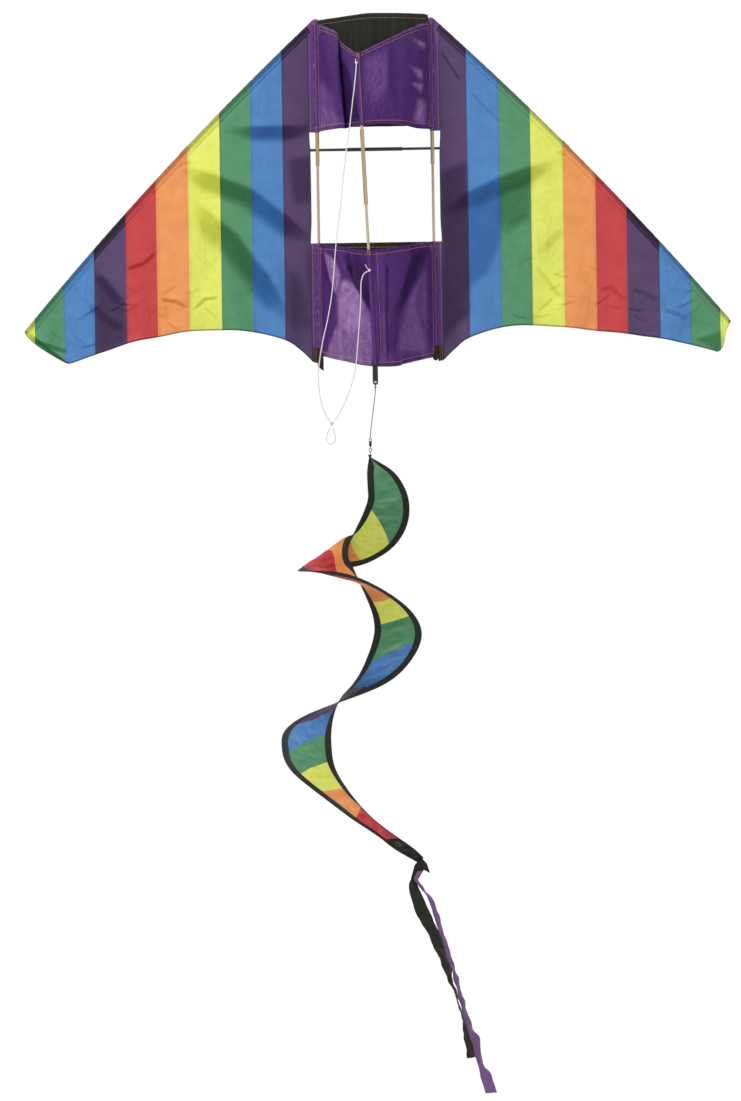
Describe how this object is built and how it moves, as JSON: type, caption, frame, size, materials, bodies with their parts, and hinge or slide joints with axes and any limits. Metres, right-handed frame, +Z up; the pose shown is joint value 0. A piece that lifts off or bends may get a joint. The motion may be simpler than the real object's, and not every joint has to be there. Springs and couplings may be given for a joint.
{
  "type": "delta kite",
  "caption": "Delta kite with a triangular box body, striped wings that fold, a push-in spreader, a bridle with a tow loop and a spinning striped tail with streamers.",
  "frame": {"origin": "middle of the nose line, in the plane of the two side longerons", "axes": "+X to the viewer's right, +Y away from the viewer (the kite's back), +Z up along the kite"},
  "size_m": [1.6948, 0.3461, 2.5651],
  "materials": {
    "dowel_wood": "plain sanded hardwood dowel",
    "ferrule_tube": "bronze-tinted tube, satin",
    "black_fibreglass": "drawn black fibreglass rod",
    "black_vinyl": "soft moulded vinyl",
    "purple_ripstop": "coated ripstop nylon, dark purple",
    "sleeve_ripstop": "folded ripstop nylon, light purple",
    "black_ripstop": "coated ripstop nylon, black",
    "wing_ripstop": "ripstop nylon in six stripe colours",
    "edge_tape": "dark bias tape",
    "twister_ripstop": "ripstop nylon in six stripe colours",
    "bridle_line": "white braided line",
    "black_cord": "black braided cord",
    "swivel_metal": "blackened brass swivel",
    "purple_ribbon": "purple ripstop ribbon"
  },
  "bodies": {
    "frame": {"left_upper_longeron": "dowel_wood", "left_lower_longeron": "dowel_wood", "left_longeron_ferrule": "ferrule_tube", "right_upper_longeron": "dowel_wood", "right_lower_longeron": "dowel_wood", "right_longeron_ferrule": "ferrule_tube", "upper_back_panel": "black_ripstop", "lower_back_panel": "black_ripstop", "left_upper_sleeve": "sleeve_ripstop", "left_lower_sleeve": "sleeve_ripstop", "right_upper_sleeve": "sleeve_ripstop", "right_lower_sleeve": "sleeve_ripstop", "left_end_pocket": "black_ripstop", "right_end_pocket": "black_ripstop", "upper_left_panel": "purple_ripstop", "upper_right_panel": "purple_ripstop", "lower_left_panel": "purple_ripstop", "lower_right_panel": "purple_ripstop"},
    "keel": {"keel_upper_rod": "dowel_wood", "keel_lower_rod": "dowel_wood", "keel_ferrule": "ferrule_tube", "upper_keel_sleeve": "sleeve_ripstop", "lower_keel_sleeve": "sleeve_ripstop", "tail_tab": "black_ripstop"},
    "left_wing": {"left_wing_sail": "wing_ripstop", "left_leading_edge_sleeve": "wing_ripstop", "left_leading_edge_spar": "black_fibreglass", "left_spar_cap": "black_vinyl", "left_upper_root_hem": "sleeve_ripstop", "left_lower_root_hem": "sleeve_ripstop", "left_root_patch": "black_ripstop"},
    "right_wing": {"right_wing_sail": "wing_ripstop", "right_leading_edge_sleeve": "wing_ripstop", "right_leading_edge_spar": "black_fibreglass", "right_spar_cap": "black_vinyl", "right_upper_root_hem": "sleeve_ripstop", "right_lower_root_hem": "sleeve_ripstop", "right_root_patch": "black_ripstop"},
    "spreader": {"left_spreader_rod": "black_fibreglass", "right_spreader_rod": "black_fibreglass", "spreader_ferrule": "black_fibreglass", "left_spreader_clip": "black_vinyl", "right_spreader_clip": "black_vinyl"},
    "bridle": {"upper_bridle_leg": "bridle_line", "lower_bridle_leg": "bridle_line", "tow_loop": "bridle_line", "bridle_knots": "bridle_line"},
    "tail_line": {"tail_hitch": "black_cord", "tail_line": "black_cord", "swivel_barrel": "swivel_metal"},
    "twister": {"swivel_stem": "swivel_metal", "twister_top_knot": "black_cord", "twister_sail": "twister_ripstop", "twister_inner_edging": "edge_tape", "twister_outer_edging": "edge_tape", "twister_end_tab": "black_ripstop"},
    "streamers": {"streamer_knot": "black_cord", "black_streamer": "black_ripstop", "purple_streamer": "purple_ribbon"}
  },
  "joints": [
    {"name": "left_wing_fold", "type": "hinge", "parent": "frame", "child": "left_wing", "pos_m": [-0.138, 0, 0], "axis": [0, 0, 1], "range_deg": [0, 80]},
    {"name": "right_wing_fold", "type": "hinge", "parent": "frame", "child": "right_wing", "pos_m": [0.138, 0, 0], "axis": [0, 0, -1], "range_deg": [0, 80]},
    {"name": "spreader_release", "type": "slide", "parent": "frame", "child": "spreader", "axis": [0, 1, 0], "range_m": [0, 0.04]},
    {"name": "box_collapse", "type": "slide", "parent": "frame", "child": "keel", "axis": [0, 1, 0], "range_m": [0, 0.165], "deforming": ["upper_left_panel", "upper_right_panel", "lower_left_panel", "lower_right_panel"]},
    {"name": "bridle_swing", "type": "hinge", "parent": "keel", "child": "bridle", "pos_m": [-0.038, -0.19, -0.112], "axis": [-0.041, 0, 0.9992], "range_deg": [0, 100]},
    {"name": "tail_swing", "type": "hinge", "parent": "keel", "child": "tail_line", "pos_m": [-0.008, -0.19, -0.886], "axis": [0, 1, 0], "range_deg": [-40, 40]},
    {"name": "twister_spin", "type": "hinge", "parent": "tail_line", "child": "twister", "pos_m": [-0.022, -0.19, -1.024], "axis": [0, 0, 1], "continuous": true},
    {"name": "streamer_swing", "type": "hinge", "parent": "twister", "child": "streamers", "pos_m": [0.0636, -0.2014, -2.0449], "axis": [0, 1, 0], "range_deg": [-30, 30]}
  ]
}
